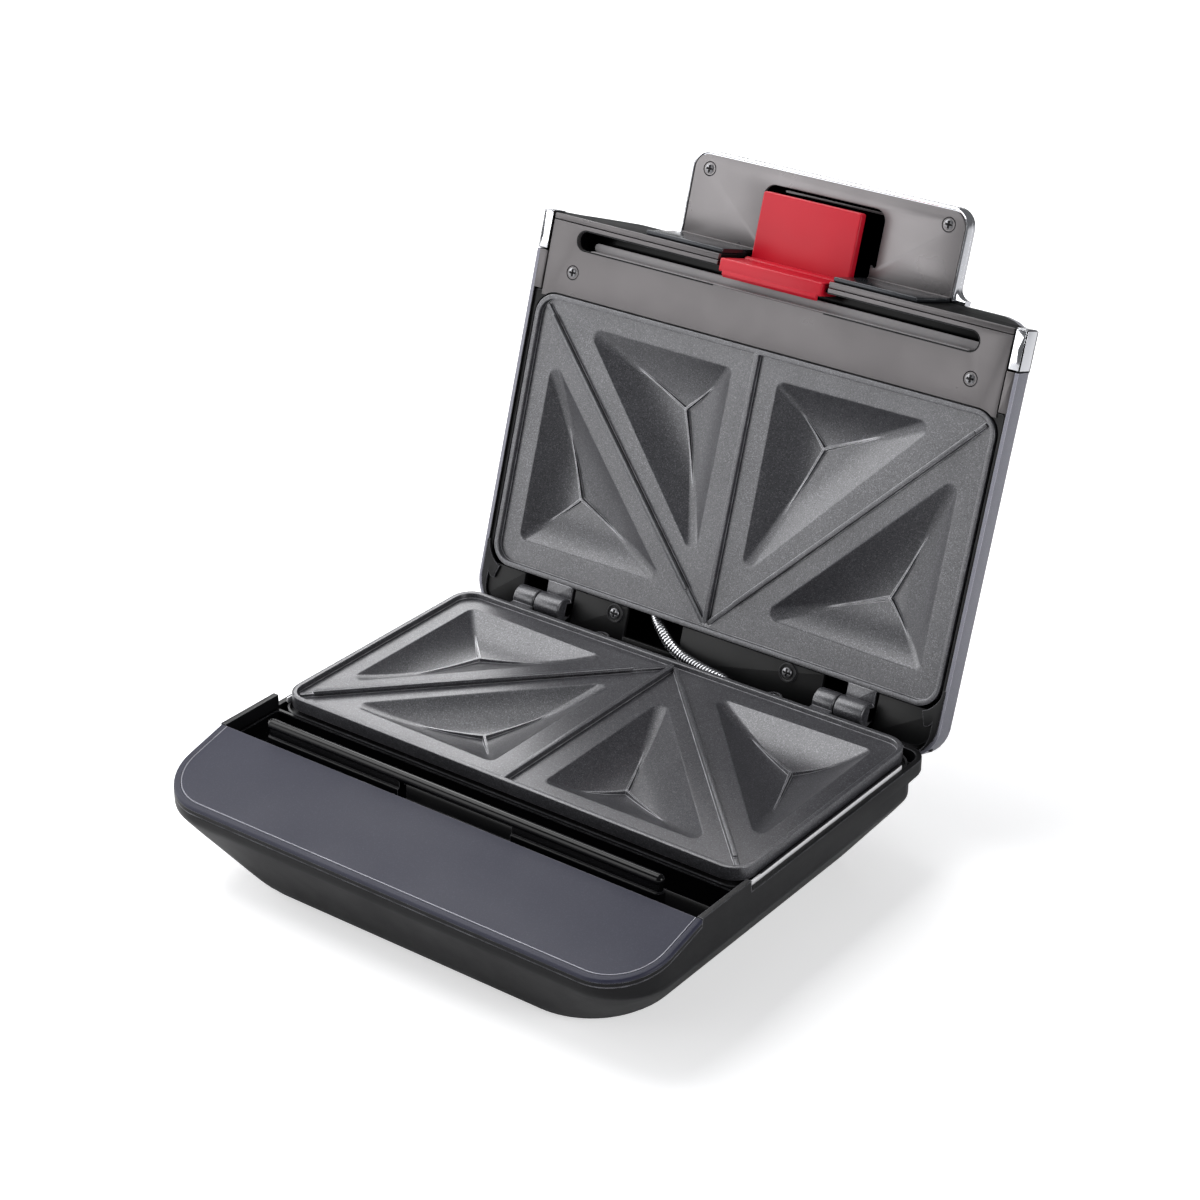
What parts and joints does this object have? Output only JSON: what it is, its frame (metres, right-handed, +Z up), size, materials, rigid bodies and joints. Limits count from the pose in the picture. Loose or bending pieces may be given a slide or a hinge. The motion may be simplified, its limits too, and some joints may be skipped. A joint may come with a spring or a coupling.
{
  "type": "sandwich toaster",
  "caption": "Countertop sandwich toaster with a hinged lid held open, cast plates with triangular pockets, a front rail, a handle and a sprung latch.",
  "frame": {"origin": "middle of the bounding box's underside with the lid open, on the plane that the feet stand on", "axes": "+X to the right of the person using it, +Y to the back, +Z up"},
  "size_m": [0.239, 0.3062, 0.2363],
  "materials": {
    "black_plastic": "satin",
    "dark_sheet": "painted sheet steel",
    "gloss_black": "gloss",
    "grey_deck": "satin, finely speckled",
    "silver_cover": "satin",
    "gunmetal": "satin, fine grain",
    "liner": "satin",
    "non_stick": "non-stick coating, finely speckled",
    "chrome": "chrome-plated plastic, polished",
    "steel": "bright",
    "screw": "satin",
    "heater": "matte",
    "reflector": "satin",
    "ceramic": "matte",
    "wire_cover": "matte",
    "lens": "gloss",
    "red_latch": "satin",
    "rubber": "matte"
  },
  "bodies": {
    "base": {"base_housing": "black_plastic", "bottom_cover": "dark_sheet", "front_deck_panel": "grey_deck", "front_well": "gloss_black", "catch_rail": "gloss_black", "lower_plate": "non_stick", "lower_reflector": "reflector", "lower_heater": "heater", "lower_heater_clamps": "steel", "thermostat": "ceramic", "thermal_fuse": "ceramic", "terminal_block": "ceramic", "base_wiring": "wire_cover", "cord_gland": "rubber", "rubber_feet": "rubber", "bottom_screws": "screw", "base_rear_screws": "screw", "hinge_pins": "steel"},
    "lid": {"lid_cover": "silver_cover", "lid_front_wall": "black_plastic", "lid_inner_frame": "gloss_black", "front_bar": "gunmetal", "slot_liner": "liner", "end_cap_left": "chrome", "end_cap_right": "chrome", "bar_screws": "screw", "lid_rear_screws": "screw", "upper_plate": "non_stick", "upper_reflector": "reflector", "upper_heater": "heater", "upper_heater_clamps": "steel", "indicator_lenses": "lens", "indicator_lamps": "ceramic", "handle_shell": "chrome", "handle_plate": "gunmetal", "handle_screws": "screw", "latch_pin": "steel", "latch_spring": "steel", "conduit": "steel"},
    "latch": {"latch": "red_latch"}
  },
  "joints": [
    {"name": "lid_hinge", "type": "hinge", "parent": "base", "child": "lid", "pos_m": [0, 0.05296, 0.0498], "axis": [1, 0, 0], "range_deg": [0, 107.6], "deforming": ["conduit"]},
    {"name": "latch_pivot", "type": "hinge", "parent": "lid", "child": "latch", "pos_m": [0, 0.12317, 0.19937], "axis": [-1, 0, 0], "range_deg": [0, 9], "stiffness_Nm_per_rad": 0.15}
  ]
}
